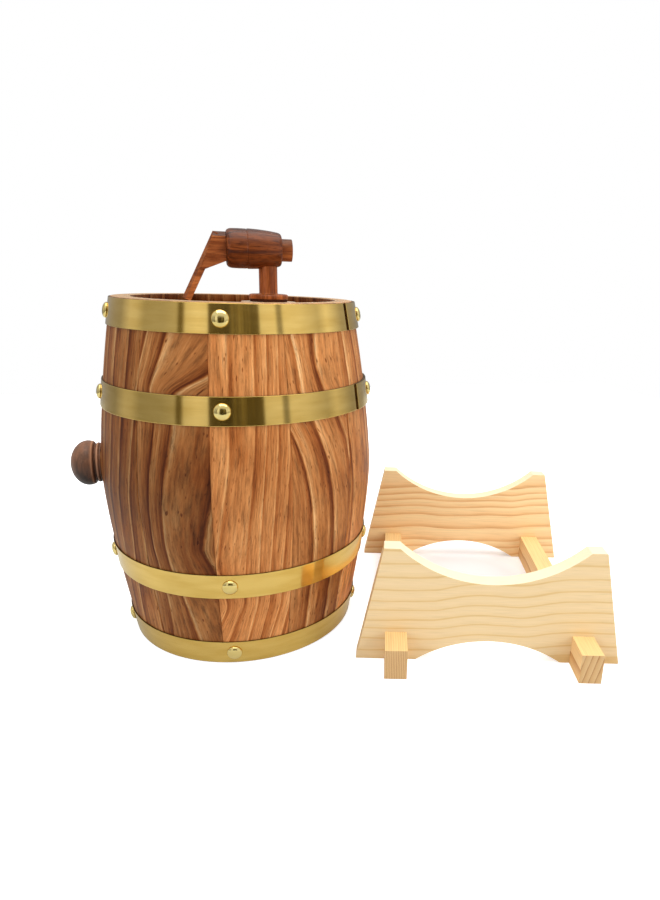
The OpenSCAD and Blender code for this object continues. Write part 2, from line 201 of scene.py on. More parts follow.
def stained_wood(name, tones, streak, gloss):
    """Ringed softwood on the fields "ring" (a count), "grain" (millimetres), "tone", "depth" and "rim".

    The ring count is bent a little by noise. Its fraction goes through a ramp from pale early wood to dark
    late wood, scaled by the depth of the stain's contrast. Noise drawn out along the rings lays streaks,
    fibres and short dark pores over it. The tone darkens or lightens it, blue most, and the rim is bare."""
    material, tree, shader = new_material(name)
    ring, tone, depth, rim = (field(tree, key) for key in ("ring", "tone", "depth", "rim"))
    place = field(tree, "grain", "Vector")
    slow = grained(tree, place, (0.05, 0.014, 0.05))
    quick = grained(tree, place, (0.35, 0.07, 0.35), 3.0)
    patch = grained(tree, place, (0.09, 0.018, 0.09), 3.0)
    streaks = grained(tree, place, (0.5, 0.012, 0.5), 6.0, 0.72)
    fibre = grained(tree, place, (1.1, 0.05, 1.1), 4.0, 0.75)
    pore = grained(tree, place, (1.3, 0.15, 1.3), 1.0)
    bent = calc(tree, "MULTIPLY_ADD", slow, 0.3, ring)
    bent = calc(tree, "MULTIPLY_ADD", quick, 0.12, bent)
    early_to_late = [(0.0, 0.3), (0.03, 0.0), (0.14, 0.3), (0.7, 0.6), (0.93, 1.0), (1.0, 0.3)]
    part = ramp(tree, calc(tree, "FRACT", bent), early_to_late)
    part = calc(tree, "MULTIPLY_ADD", calc(tree, "SUBTRACT", part, 0.5), depth, 0.5)
    part = calc(tree, "MULTIPLY_ADD", patch, 0.9, part)
    strength = calc(tree, "MULTIPLY_ADD", depth, 1.3, 0.25)
    part = calc(tree, "MULTIPLY_ADD", streaks, strength, part, clamp=True)
    colour = ramp(tree, part, tones)
    lines = ramp(tree, calc(tree, "ADD", fibre, 0.5),
                 [(0.28, 1 - streak), (0.5, 1.0), (0.72, 1 + streak * 0.6)])
    colour = blend(tree, "MULTIPLY", 1.0, colour, lines)
    speck = calc(tree, "MULTIPLY", calc(tree, "SUBTRACT", pore, 0.16, clamp=True), 12.0, clamp=True)
    colour = blend(tree, "MULTIPLY", speck, colour, (0.4, 0.28, 0.2))
    # the tone is stain and painted shade: it darkens the inside of the cask and the left-hand staves
    redder = node(tree, "ShaderNodeCombineXYZ", {
        0: tone, 1: calc(tree, "POWER", tone, 1.12), 2: calc(tree, "POWER", tone, 1.3)})
    stained_and_shaded = node(tree, "ShaderNodeVectorMath", {0: colour, 1: redder.outputs[0]}, operation="MULTIPLY")
    colour = blend(tree, "MIX", rim, stained_and_shaded.outputs[0], tint(205, 172, 132))
    dress(tree, shader, colour, calc(tree, "MULTIPLY_ADD", fibre, 0.22, gloss), fibre, 0.14, 0.0004)
    shader.inputs["Specular IOR Level"].default_value = 0.12
    return material


stave_wood = stained_wood(
    "stave_wood",
    [(0.0, tint(228, 178, 122)), (0.1, tint(210, 153, 97)), (0.35, tint(191, 127, 72)),
     (0.7, tint(156, 90, 42)), (1.0, tint(108, 51, 16))],
    streak=0.65, gloss=0.45)

# where the year rings come out on the staves that face front: for each, the side its pale
# wood lies on, some heights, and each line's millimetres right of the stave's middle there
ring_lines = {
    7: (-1, (20, 57, 78, 100, 125, 155, 183, 203, 240), (
        (-38, -33, -30, -26, -22, -19, -19, -18, -18), (-24, -19, -16, -13, -10, -5, -5, -4, -3),
        (-12, -6, -2, 0.5, 4.5, 8, 9, 11.5, 13), (2, 8, 11.5, 15, 18, 21, 23, 25, 25),
        (23, 25, 25, 27, 29, 32, 34, 36, 36))),
    8: (1, (15, 50, 78, 95, 120, 150, 183, 203, 212, 222, 245), (
        (-28, -26, -27, -27, -27, -27, -27, -28, -26, -23, -17),
        (-14.5, -13.5, -16, -18.5, -18, -16, -10.5, -16.5, -13.5, -8.5, -1),
        (8, 1.5, -5.5, -7.5, -7.5, -4, 1.5, 1, 20, 36, 60),
        (40, 40, 28, 21, 26.5, 32, 36, 40, 50, 66, 90))),
    9: (-1, (15, 50, 85, 125, 165, 200, 245), (
        (-46, -30, -42, -36, -30, -28, -28), (-34, -19, -26.5, -20, -14, -13.5, -12),
        (-21, -9, -6.5, -2.5, 1.6, 3.5, 4.6), (-7, 1, 3, 5.5, 9.5, 11.5, 12),
        (1, 9, 11.5, 14, 18, 19.5, 20), (9, 18, 20, 22.5, 25.5, 26.5, 27), (18, 25, 29, 31, 33, 34, 34))),
    10: (1, (18, 50, 78, 95, 120, 150, 167, 183, 203, 222, 240), (
        (-26, -27, -28, -29, -30, -32, -34, -36, -36, -36, -36),
        (-10, -9, -8.5, -9.5, -12, -16.5, -20.5, -28, -32, -34, -34),
        (9.6, 10.5, 11.5, 10.5, 8, 4, -1.6, -8.5, -16.6, -17, -20.4),
        (32, 33, 34, 33, 31, 26.5, 23, 17, 2, -2.3, -1.6), (50, 50, 50, 50, 50, 48, 44, 40, 36, 34, 34))),
    11: (1, (20, 50, 80, 95, 117, 140, 180, 203, 240), (
        (-32, -32, -30, -30, -30, -31, -32, -30, -30), (-24, -25, -20.5, -21.5, -23.5, -25, -26, -18, -19),
        (12, 12, 12, 11, 10.5, 10, 6, 0, -2), (30, 30, 30, 29, 28, 27, 24, 20, 16))),
}
ring_slant, next_ring = 0.35, 12
# the other staves' piths: sideways, outward, lean along the height, ring width
pith_across = (40, -55, 10, 60, -30, 20, -10)
pith_out = (-60, 70, 30, -50, 60, 35, -45)
pith_lean = (0.05, -0.08, 0.1, 0.04, -0.05, 0.06, 0.03)
ring_width = (9, 11, 8, 10, 12, 9, 10)
# how light each stave took the stain at three heights, with painted shade in it that darkens the left-hand
# staves, and how much its rings stand out
tone_at = (35, 130, 225)
stave_stain_and_shade = (
    (0.8, 0.75, 0.85), (0.9, 0.8, 0.9), (0.7, 0.6, 0.75), (0.95, 0.85, 0.9),
    (0.75, 0.6, 0.7), (0.85, 0.7, 0.8), (0.6, 0.45, 0.6), (0.67, 0.36, 0.56),
    (0.54, 0.39, 0.67), (1.15, 0.94, 1.1), (0.76, 0.83, 1.0), (1.4, 0.88, 0.97))
stain_depth = (0.8, 0.7, 0.9, 0.7, 0.85, 0.8, 0.9, 0.9, 0.95, 0.5, 0.9, 0.7)
# the inside faces keep 0.4 of their tone, which is painted shade inside the cask; and how far the rim is
# bare
inside_painted_shade, bare_rim = 0.4, 0.65
# how far apart on the noise each stave's wood is taken, across and along, millimetres
plank_across, plank_along = 61, 330


def ring_count(k, across, out, z):
    """Rings passed on the way to a place in stave k.

    Between two traced lines, smoothed along the height, the count rises evenly by one, and beyond them by
    one for each twelve millimetres; depth shifts it sideways, as rings slant. With no traced lines it is the
    distance from the leaning pith over the ring width."""
    if k not in ring_lines:
        lean = pith_lean[k] * (z - MID_Z)
        aside = across - pith_across[k] - lean
        return np.hypot(aside, out - pith_out[k] + 0.5 * lean) / ring_width[k]
    pale_side, heights, lines = ring_lines[k]
    level_mm = np.arange(-20.0, CASK_H + 21)
    window = np.hanning(19) / np.hanning(19).sum()
    smooth = [np.convolve(np.interp(level_mm, heights, line), window, "same") for line in lines]
    at = np.stack([np.interp(z, level_mm, line) for line in smooth])
    gap = np.diff(at, axis=0)
    s = across - ring_slant * pale_side * out
    count = np.clip((s - at[:-1]) / gap, 0, 1).sum(0)
    beyond = np.minimum(s - at[0], 0) + np.maximum(s - at[-1], 0)
    return pale_side * (count + beyond / next_ring)


def stave(k):
    """The stave's section, outer face, rim, grooved inner face and foot, swept over its share of the turn.

    The outermost columns sink a little, which rounds the edges beside the seams. The bung stave has the same
    rows inside as outside, so that its hole can run through."""
    near_end = np.array([0, 0.35, 1.1])
    z = np.concatenate([near_end, np.linspace(2.5, CASK_H - 2.5, 100), CASK_H - near_end[::-1]])
    r = outer_radius(z)
    r[[0, -1]] -= END_CUT
    r[[1, -2]] -= NEXT_CUT
    lo, hi = RECESS, RECESS + HEAD_T
    groove = np.array([0, 0.4, lo, lo, hi, hi])
    first, last = hi + 10, CASK_H - hi - 10
    between = z[(z > first) & (z < last)] if k == BUNG_STAVE else np.linspace(first, last, 20)
    zi = np.concatenate([CASK_H - groove, between[::-1], groove[::-1]])
    ri = outer_radius(zi) - STAVE_T
    ri[[3, 4, -5, -4]] = CROZE_R
    ri[[0, -1]] += INNER_CUT
    loop_r, loop_z = np.concatenate([r, ri]), np.concatenate([z, zi])
    n_out = len(z)
    half = math.radians(STAVE_DEG / 2) - 0.0005
    inset = np.array([0, 0.2, 0.5, 1.0]) / BILGE_R
    t = np.concatenate([-half + inset, np.linspace(-half + 0.03, half - 0.03, 41), half - inset[::-1]])
    away = (half - np.abs(t)) * BILGE_R
    is_outside = (np.arange(len(loop_r)) < n_out)[:, None]
    sink = is_outside * SEAM_CUT * np.exp(-((away / SEAM_REACH) ** 2))[None, :]
    rr = loop_r[:, None] - sink
    tt = np.broadcast_to(t[None, :], rr.shape)
    zz = np.broadcast_to(loop_z[:, None], rr.shape)
    a = math.radians(k * STAVE_DEG) + tt
    points = np.stack([rr * np.cos(a), rr * np.sin(a), zz], -1).reshape(-1, 3)
    rows, cols = rr.shape
    faces = grid_faces(rows, cols, close_rows=True).tolist()
    faces.append([i * cols for i in range(rows)])
    faces.append([i * cols + cols - 1 for i in range(rows)][::-1])
    across, out = (rr * tt).ravel(), (rr - outer_radius(zz)).ravel()
    ring = ring_count(k, across, out, zz.ravel())
    slide = ring * 10 if k in ring_lines else across
    tone = np.interp(zz, tone_at, stave_stain_and_shade[k]) * np.where(is_outside, 1.0, inside_painted_shade)
    rim = (np.abs(zz - MID_Z) > MID_Z - 0.3) * bare_rim
    grain = np.stack([slide + plank_across * k, zz.ravel() + plank_along * k, out], 1)
    return points, faces, {"ring": ring, "grain": grain, "tone": tone.ravel(),
                           "depth": np.full(len(ring), stain_depth[k]), "rim": rim.ravel()}


for k in range(STAVES):
    if k != BUNG_STAVE:
        points, faces, fields = stave(k)
        put(f"stave_{k:02d}_bent", points, faces, stave_wood, "cask", [f"stave_{k:02d}"],
            fields=fields)

# ---- Bung stave ----------------------------------------------------------------
# The stave on the far left has a round bung hole bored right through, with a flat
# turned round it, on which the bung's collar sits.
BUNG_Z, BUNG_R, BUNG_FIT = 135.0, 10.9, 0.05
SEAT_R, SEAT_IN = 15.6, 1.0
# the cuts at the seat's edge and the hole's mouth, and how far past the seat the hole's own rings reach
SEAT_LIP, MOUTH, RINGED = 0.3, 0.4, 4


def cask_x(r, turn, wall=0.0):
    """Where a circle about the bung's axis meets the cask, by Pythagoras on its radius at each height."""
    reach = outer_radius(BUNG_Z + r * np.sin(turn)) - wall
    return -np.sqrt(reach ** 2 - (r * np.cos(turn)) ** 2)


def holed(points, faces, fields, hole_r, seat_r, seat_x):
    """Opens the bung stave: quads near the hole go on both faces, and rings run from edge to edge.

    Both faces have the same columns and rows there, so each edge vertex outside has one behind it inside."""
    centre = np.array([-BILGE_R, 0.0, BUNG_Z])
    quads = np.array([f for f in faces if len(f) == 4])
    others = [f for f in faces if len(f) != 4]
    mid = points[quads].mean(1)
    near = np.hypot(np.arctan2(mid[:, 1], -mid[:, 0]) * BILGE_R, mid[:, 2] - BUNG_Z) < seat_r + RINGED
    outside = np.hypot(mid[:, 0], mid[:, 1]) > BILGE_R - STAVE_T / 2
    gone, kept = quads[near & outside], quads[~near]
    edges = np.concatenate([gone[:, [i, (i + 1) % 4]] for i in range(4)])
    both = {tuple(e) for e in edges.tolist()}
    border = {a: b for a, b in both if (b, a) not in both}
    walk = [next(iter(border))]
    while border[walk[-1]] != walk[0]:
        walk.append(border[walk[-1]])
    flat = np.stack([np.arctan2(points[:, 1], -points[:, 0]) * BILGE_R, points[:, 2]], 1)
    inner = np.unique(quads[near & ~outside])
    behind = inner[np.linalg.norm(flat[walk][:, None] - flat[inner][None], axis=2).argmin(1)]
    base = points[walk]
    turn = np.arctan2(base[:, 2] - BUNG_Z, base[:, 1])
    circle = np.stack([np.zeros_like(turn), np.cos(turn), np.sin(turn)], 1)
    face_x, wall_x = cask_x(seat_r + SEAT_LIP, turn), cask_x(hole_r, turn, STAVE_T)
    rings = []
    for radius, x in ((seat_r + SEAT_LIP, face_x), (seat_r, face_x + SEAT_LIP / 2), (seat_r, seat_x),
                      (hole_r + MOUTH, seat_x), (hole_r, seat_x + MOUTH), (hole_r, wall_x)):
        ring = circle * radius + centre
        ring[:, 0] = x
        rings.append(ring)
    count, m = len(points), len(walk)
    extra = []
    last = np.array(walk)
    for j in range(len(rings) + 1):
        here = count + j * m + np.arange(m) if j < len(rings) else behind
        extra.append(np.stack([last, np.roll(last, -1), np.roll(here, -1), here], 1))
        last = here
    added = np.concatenate(rings)
    across, z = -added[:, 1], added[:, 2]
    out = np.hypot(added[:, 0], added[:, 1]) - outer_radius(z)
    k = BUNG_STAVE
    new = {"ring": ring_count(k, across, out, z),
           "grain": np.stack([across + plank_across * k, z + plank_along * k, out], 1),
           "tone": np.full(len(added), stave_stain_and_shade[k][1]),
           "depth": np.full(len(added), stain_depth[k]),
           "rim": np.zeros(len(added))}
    joined = {key: np.concatenate([fields[key], new[key]]) for key in fields}
    return np.concatenate([points, added]), others + kept.tolist() + np.concatenate(extra).tolist(), joined


points, faces, fields = stave(BUNG_STAVE)
points, faces, fields = holed(points, faces, fields, BUNG_R + BUNG_FIT, SEAT_R, -BILGE_R + SEAT_IN)
put("bung_stave", points, faces, stave_wood, "cask", ["stave_06_bung"], fields=fields)

# ---- Heads -----------------------------------------------------------------------
# Flat boards edge to edge in each end's groove, five to a head, of the same softwood
# as the staves and stained with them.
def facing_up(tree):
    """The upward part of the surface's own normal: 1 on a top, 0 on a side, -1 underneath."""
    normal = node(tree, "ShaderNodeTexCoord").outputs["Normal"]
    return node(tree, "ShaderNodeSeparateXYZ", {0: normal}).outputs["Z"]


def plank_wood(name, origin, axes, tones, ring_mm=9.0, lines=None, wave=None, lift=(0.0, 0.0), slope=0.3,
               streak=0.2, gloss=0.4, waver=2.2, painted_top_light=None, top_light_share=0.85, end_grain=(1, 1, 1)):
    """Ringed softwood on Object coordinates for sawn boards.

    The axes (along the grain, through the board, across the rings) turn the place into board millimetres.
    The height across the rings slopes through the board, is lowered by the wave along the grain and shaken
    by noise. It is counted in rings, evenly or from one traced line to the next, and the fraction goes
    through the tones. Faces that look up may be mixed toward a pale colour, which is painted top light, and
    end grain is darker."""
    material, tree, shader = new_material(name)
    turn = Matrix(axes).transposed().to_euler()
    place = node(tree, "ShaderNodeTexCoord").outputs["Object"]
    place = node(tree, "ShaderNodeMapping", {
        "Vector": place, "Location": origin, "Rotation": turn, "Scale": (0.001, 0.001, 0.001)},
        vector_type="TEXTURE").outputs[0]
    parts = node(tree, "ShaderNodeSeparateXYZ", {0: place})
    high = calc(tree, "MULTIPLY_ADD", parts.outputs["Y"], slope, parts.outputs["Z"])
    if wave:
        board_long = 220
        along = calc(tree, "MULTIPLY_ADD", parts.outputs["X"], 1 / board_long, 0.5)
        bend = ramp(tree, along, [(x / board_long + 0.5, w) for x, w in wave], "B_SPLINE")
        rise = calc(tree, "MULTIPLY_ADD", high, lift[1], lift[0])
        high = calc(tree, "SUBTRACT", high, calc(tree, "MULTIPLY", bend, rise))
    high = calc(tree, "MULTIPLY_ADD", grained(tree, place, (0.022, 0.05, 0.07), 2.0), waver * 2, high)
    high = calc(tree, "MULTIPLY_ADD", grained(tree, place, (0.12, 0.3, 0.3), 2.0), waver * 0.3, high)
    if lines:
        steps, ramp_high = len(lines), 100
        stops = [(z / ramp_high, i / steps) for i, z in enumerate(lines)]
        count = ramp(tree, calc(tree, "MULTIPLY", high, 1 / ramp_high), stops + [(1.0, 1 - 0.2 / steps)])
        count = calc(tree, "MULTIPLY", count, steps)
    else:
        count = calc(tree, "MULTIPLY", high, 1 / ring_mm)
    part = calc(tree, "FRACT", count)
    patch = grained(tree, place, (0.02, 0.08, 0.08), 3.0)
    part = calc(tree, "MULTIPLY_ADD", patch, 0.35, part, clamp=True)
    colour = ramp(tree, part, tones)
    fibre = grained(tree, place, (0.04, 1.8, 1.8), 4.0, 0.6)
    marks = ramp(tree, calc(tree, "ADD", fibre, 0.5),
                 [(0.3, 1 - streak), (0.5, 1.0), (0.75, 1 + streak * 0.4)])
    if painted_top_light:
        facing = calc(tree, "MULTIPLY_ADD", facing_up(tree), 3.0, -1.2, clamp=True)
        colour = blend(tree, "MIX", calc(tree, "MULTIPLY", facing, top_light_share), colour, painted_top_light)
    colour = blend(tree, "MULTIPLY", 1.0, colour, marks)
    normal = node(tree, "ShaderNodeTexCoord").outputs["Normal"]
    square = node(tree, "ShaderNodeVectorMath", {0: normal, 1: axes[0]}, operation="DOT_PRODUCT")
    square = calc(tree, "ABSOLUTE", square.outputs["Value"])
    square = calc(tree, "MULTIPLY_ADD", square, 4.0, -3.0, clamp=True)
    colour = blend(tree, "MULTIPLY", square, colour, end_grain)
    dress(tree, shader, colour, calc(tree, "MULTIPLY_ADD", fibre, 0.2, gloss), fibre, 0.1, 0.0003)
    shader.inputs["Specular IOR Level"].default_value = 0.35
    return material


def finish_node(name, material):
    """Gives a CAD node its material."""
    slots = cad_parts[name].data.materials
    slots.clear()
    slots.append(material)


flat_axes = ((1, 0, 0), (0, 0, 1), (0, -1, 0))
head_tones = [(0.0, tint(132, 78, 46)), (0.2, tint(160, 100, 60)), (0.6, tint(178, 116, 72)),
              (1.0, tint(192, 130, 84))]
for m in range(1, 6):
    for end, end_z in (("front", 0.25), ("back", 0.01)):
        sawn_from = (0.07 * m, 0.037 * m * m, end_z)
        finish_node(f"{end}_head_{m}", plank_wood(
            f"{end}_board_{m}", sawn_from, flat_axes, head_tones, ring_mm=9.0 + 2 * (m % 3), streak=0.3))

# ---- Hoops -----------------------------------------------------------------------
# Strips of brushed brass bent to a cone; the ends lap, on the right or behind, and
# one nail holds both. Their edges and ends are sheared and dull, and dark as painted shadow lines along the
# hoops.
HOOP_W, HOOP_T, END_INSET, INNER_OFF = 19.0, 1.0, 0.4, 62.3
HOOP_GAP, LAP_GAP, LAP_DEG, STEP_DEG = 0.06, 0.04, 32.0, 9
hoop_low = (CASK_H - END_INSET - HOOP_W, MID_Z + INNER_OFF - HOOP_W / 2,
            MID_Z - INNER_OFF - HOOP_W / 2, END_INSET)
# the nails' azimuths: three are seen, and two share out what lies behind
nail_front, nail_left, nail_right = -100.0, -172.5, -13.0
behind_step = (360 - (nail_right - nail_left)) / 3
nail_deg = (nail_front, nail_left, nail_right, nail_right + behind_step, nail_right + 2 * behind_step)
lap_mid = (-20.0, -20.0, nail_deg[3], nail_deg[3])


def brass_metal(name, base, dark, rough, brushed, one_way=0.0):
    """Brass brushed lengthways: tiny streaks in colour, roughness and height, drawn out round the strip.

    Brushing spreads what it mirrors across the strip and hardly along it: the shine is stretched one way."""
    material, tree, shader = new_material(name)
    place = field(tree, "grain", "Vector")
    long = grained(tree, place, (0.02, 5.0, 1.0), 4.0, 0.7)
    patch = grained(tree, place, (0.03, 0.14, 0.05), 3.0)
    colour = ramp(tree, calc(tree, "ADD", patch, 0.5), [(0.32, dark), (0.62, base)])
    marks = ramp(tree, calc(tree, "ADD", long, 0.5), [(0.3, 0.93), (0.7, 1.04)])
    colour = blend(tree, "MULTIPLY", brushed, colour, marks)
    dull = calc(tree, "MULTIPLY_ADD", long, 0.04 * brushed, rough)
    dress(tree, shader, colour, dull, long, 0.02 * brushed, 0.0002)
    shader.inputs["Metallic"].default_value = 1
    if one_way:
        shader.inputs["Anisotropic"].default_value = one_way
        shader.inputs["Anisotropic Rotation"].default_value = 0.25
        round_it = node(tree, "ShaderNodeTangent", direction_type="RADIAL", axis="Z")
        tree.links.new(round_it.outputs[0], shader.inputs["Tangent"])
    return material


hoop_brass = brass_metal("hoop_brass", tint(236, 200, 116), tint(224, 186, 100), 0.13, 1.0, 0.9)
# dark brass for edges and ends: dull sheared metal, darkened as a painted shadow line above and below each
# hoop
dull_edge_and_shadow_brass = brass_metal("dull_edge_and_shadow_brass", tint(96, 74, 40), tint(70, 52, 30), 0.5, 0.5)


def hoop(i):
    """A thin rounded rectangle carried round a turn and a lap, stepped out by its thickness at the lap.

    Both short ends are closed flat."""
    z0 = hoop_low[i]
    r0, r1 = outer_radius(z0), outer_radius(z0 + HOOP_W)
    start = lap_mid[i] + LAP_DEG / 2
    plain_deg, plain_steps, lap_steps = 347, 300, 80
    deg = np.concatenate([np.linspace(start, start - plain_deg, plain_steps),
                          np.linspace(start - plain_deg - 1, start - 360 - LAP_DEG, lap_steps)])
    step = np.clip((start + STEP_DEG - 360 - deg) / STEP_DEG, 0, 1)
    lift = HOOP_GAP + (HOOP_T + LAP_GAP) * (3 * step ** 2 - 2 * step ** 3)
    cut = 0.22
    side = np.array([[0, cut], [0, HOOP_W - cut], [0.08, HOOP_W], [HOOP_T - cut, HOOP_W],
                     [HOOP_T - 0.06, HOOP_W - 0.07], [HOOP_T, HOOP_W - cut], [HOOP_T, HOOP_W - 2 * cut],
                     [HOOP_T, HOOP_W / 2], [HOOP_T, 2 * cut], [HOOP_T, cut], [HOOP_T - 0.06, 0.07],
                     [HOOP_T - cut, 0], [0.08, 0]])
    radius = r0 + (r1 - r0) * side[:, 1] / HOOP_W + side[:, 0]
    rr = radius[None, :] + lift[:, None]
    a = np.radians(deg)[:, None]
    zz = np.broadcast_to(z0 + side[:, 1], rr.shape)
    points = np.stack([rr * np.cos(a), rr * np.sin(a), zz], -1).reshape(-1, 3)
    rows, cols = rr.shape
    faces = grid_faces(rows, cols, close_cols=True)[:, ::-1].tolist()
    faces.append(list(range(cols)))
    faces.append([(rows - 1) * cols + j for j in range(cols)][::-1])
    mean_r, next_strip = 95, 40.0
    grain = np.stack([np.broadcast_to(a * mean_r, rr.shape), np.broadcast_to(side[:, 1], rr.shape),
                      np.full(rr.shape, next_strip * i)], -1).reshape(-1, 3)
    return points, faces, {"grain": grain}


for i, name in enumerate(("hoop_1_top", "hoop_2", "hoop_3", "hoop_4_foot")):
    points, faces, fields = hoop(i)
    piece = put(f"{name}_strip", points, faces, hoop_brass, "cask", [name], fields=fields)
    piece.data.materials.append(dull_edge_and_shadow_brass)
    # edges and ends take the dark brass: painted shadow lines along each hoop
    for face in piece.data.polygons:
        is_edge, is_end = abs(face.normal.z) > 0.85, face.index >= len(faces) - 2
        if is_edge or is_end:
            face.material_index = 1
            face.use_smooth = False

# ---- Nails -----------------------------------------------------------------------
# Domed brass nails, five to a hoop; one of them goes through the lap.
NAIL_R, NAIL_H, NAIL_STEPS = 5.6, 2.9, 40
nail_brass = brass_metal("nail_brass", tint(240, 218, 148), tint(230, 204, 128), 0.12, 0.2)


def nails(i):
    """Domes, each a quarter of a flattened circle turned about its pin, set square on the sloping strip."""
    z0 = hoop_low[i]
    r0, r1 = outer_radius(z0), outer_radius(z0 + HOOP_W)
    slope = math.atan2(r0 - r1, HOOP_W)
    q = np.linspace(0, math.pi / 2, 12)
    rad = np.concatenate([[NAIL_R - 0.9, NAIL_R - 0.15], NAIL_R * np.cos(q) ** 0.85])
    out = np.concatenate([[0.02, 0.05], 0.3 + (NAIL_H - 0.3) * np.sin(q) ** 1.1])
    rad[-1] = 0.02
    turn = np.linspace(0, 2 * math.pi, NAIL_STEPS, endpoint=False)
    x = np.broadcast_to(out[:, None], (len(rad), NAIL_STEPS))
    y = rad[:, None] * np.cos(turn)
    z = rad[:, None] * np.sin(turn)
    all_points, all_faces = [], []
    for j, deg in enumerate(nail_deg):
        in_lap = abs((deg - lap_mid[i] + 180) % 360 - 180) < LAP_DEG / 2
        seat = (r0 + r1) / 2 + HOOP_T + HOOP_GAP + (HOOP_T + LAP_GAP) * in_lap
        xs = x * math.cos(slope) - z * math.sin(slope) + seat
        zs = x * math.sin(slope) + z * math.cos(slope) + z0 + HOOP_W / 2
        a = math.radians(deg)
        dome = [xs * math.cos(a) - y * math.sin(a), xs * math.sin(a) + y * math.cos(a), zs]
        all_points.append(np.stack(dome, -1).reshape(-1, 3))
        base = j * x.size
        top = base + x.size - NAIL_STEPS
        all_faces += (grid_faces(len(rad), NAIL_STEPS, close_cols=True) + base).tolist()
        all_faces.append([base + t for t in range(NAIL_STEPS)][::-1])
        all_faces.append([top + t for t in range(NAIL_STEPS)])
    points = np.concatenate(all_points)
    return points, all_faces, {"grain": points[:, [1, 2, 0]]}


for i in range(len(hoop_low)):
    points, faces, fields = nails(i)
    put(f"hoop_{i + 1}_dome_nails", points, faces, nail_brass, "cask", [f"nails_{i + 1}"],
        fields=fields)

# ---- Bung ------------------------------------------------------------------------
# A turned hardwood stopper, stained dark brown, with a bead and a groove
# between its domed knob and the collar that seats on the stave. Its ridges are rubbed. Painted light
# brightens its ridges and top, and painted shade darkens its underside almost to black.
def turned(profile, steps=96):
    """A profile of (radius, place along the axis) points carried round: radius times cosine and sine.

    A point on the axis becomes a ring too small to see, which a flat face can close."""
    r, s = np.array(profile, float).T
    r = np.maximum(r, 0.01)[:, None]
    turn = np.linspace(0, 2 * math.pi, steps, endpoint=False)
    return r * np.cos(turn), r * np.sin(turn), np.broadcast_to(s[:, None], (len(r), steps))


def rounded(profile, cut=0.35, times=2):
    """Corners of a profile cut off and smoothed: each span keeps its middle part (corner cutting)."""
    p = np.array(profile, float)
    for _ in range(times):
        a, b = p[:-1], p[1:]
        span = np.linalg.norm(b - a, axis=1, keepdims=True)
        bite = np.minimum(0.25, cut / np.maximum(span, 1e-6))
        q = np.stack([a + (b - a) * bite, b - (b - a) * bite], 1).reshape(-1, 2)
        p = np.concatenate([p[:1], q, p[-1:]])
    return p


def hardwood(name, light, dark, axis, gloss, coat, mottled=0.5, rubbed_and_lit_colour=tint(200, 160, 120), stain_and_painted_shade=(1, 1, 1)):
    """Fine-grained hardwood on Object coordinates: close wavy figure, drawn-out pores and a lacquer coat.

    The three shades scale faces that look down, sideways or up: painted shade, darker underneath and on the
    barrel's top, with the stain lying deeper in the key's end-grain top. A field from the mesh blends in the
    bare colour where the stain is rubbed through, with painted light on the bung's upper side."""
    material, tree, shader = new_material(name)
    place = node(tree, "ShaderNodeTexCoord").outputs["Object"]
    long = {"x": (0.1, 1, 1), "z": (1, 1, 0.1)}[axis]
    figure = grained(tree, place, tuple(v * 330 for v in long), 4.0, 0.6, 0.8)
    pore = grained(tree, place, tuple(v * 1500 for v in long), 2.0)
    cloud = grained(tree, place, tuple(v * 90 for v in long), 2.0)
    mixed = calc(tree, "MULTIPLY_ADD", cloud, 0.8, calc(tree, "ADD", figure, 0.5))
    colour = ramp(tree, mixed, [(0.33, dark), (0.67, light)])
    marks = ramp(tree, calc(tree, "ADD", pore, 0.5),
                 [(0.3, 1 - 0.5 * mottled), (0.46, 1.0), (0.75, 1 + 0.25 * mottled)])
    colour = blend(tree, "MULTIPLY", 1.0, colour, marks)
    facing = calc(tree, "MULTIPLY_ADD", facing_up(tree), 0.5, 0.5)
    colour = blend(tree, "MULTIPLY", 1.0, colour, ramp(tree, facing, list(zip((0.1, 0.5, 0.9), stain_and_painted_shade))))
    colour = blend(tree, "MIX", field(tree, "rubbed_and_painted_light"), colour, rubbed_and_lit_colour)
    dress(tree, shader, colour, calc(tree, "MULTIPLY_ADD", pore, 0.15, gloss), pore, 0.1, 0.0002)
    shader.inputs["Specular IOR Level"].default_value = 0.2
    shader.inputs["Coat Weight"].default_value = coat
    shader.inputs["Coat Roughness"].default_value = 0.2
    return material


# facing shades 0.1, 0.55, 1.0: painted shade under the bung, almost black, and painted light on its top
bung_wood = hardwood("bung_wood", tint(122, 80, 58), tint(62, 42, 34), "z", 0.42, 0.1,
                     rubbed_and_lit_colour=tint(206, 150, 112), stain_and_painted_shade=(0.1, 0.55, 1.0))
KNOB_R, KNOB_OUT, DOME_H, PLUG_IN, COLLAR_R = 17.2, 9.3, 12.5, 19, 14.6
b = BILGE_R
under = b - SEAT_IN + BUNG_FIT
plug_and_neck = [
    [0, b - PLUG_IN], [BUNG_R - 1.2, b - PLUG_IN], [BUNG_R, b - PLUG_IN + 1.5], [BUNG_R, under],
    [COLLAR_R, under], [COLLAR_R, b + 0.4], [15.1, b + 1.0], [15.35, b + 1.9], [15.0, b + 2.8],
    [14.2, b + 3.3], [14.1, b + 4.0], [15.2, b + 4.3], [16.3, b + 5.0], [16.75, b + 6.4]]
dome = [[KNOB_R * math.cos(q), b + KNOB_OUT + DOME_H * math.sin(q)]
        for q in np.linspace(-0.16, math.pi / 2, 22)]
px, py, ps = turned(np.concatenate([rounded(plug_and_neck, 0.4, 2), dome]))
points = np.stack([-ps, px, BUNG_Z + py], -1).reshape(-1, 3)
faces = grid_faces(*ps.shape, close_cols=True)[:, ::-1].tolist()
faces.append(list(range(ps.shape[1])))
faces.append([ps.size - 1 - j for j in range(ps.shape[1])])
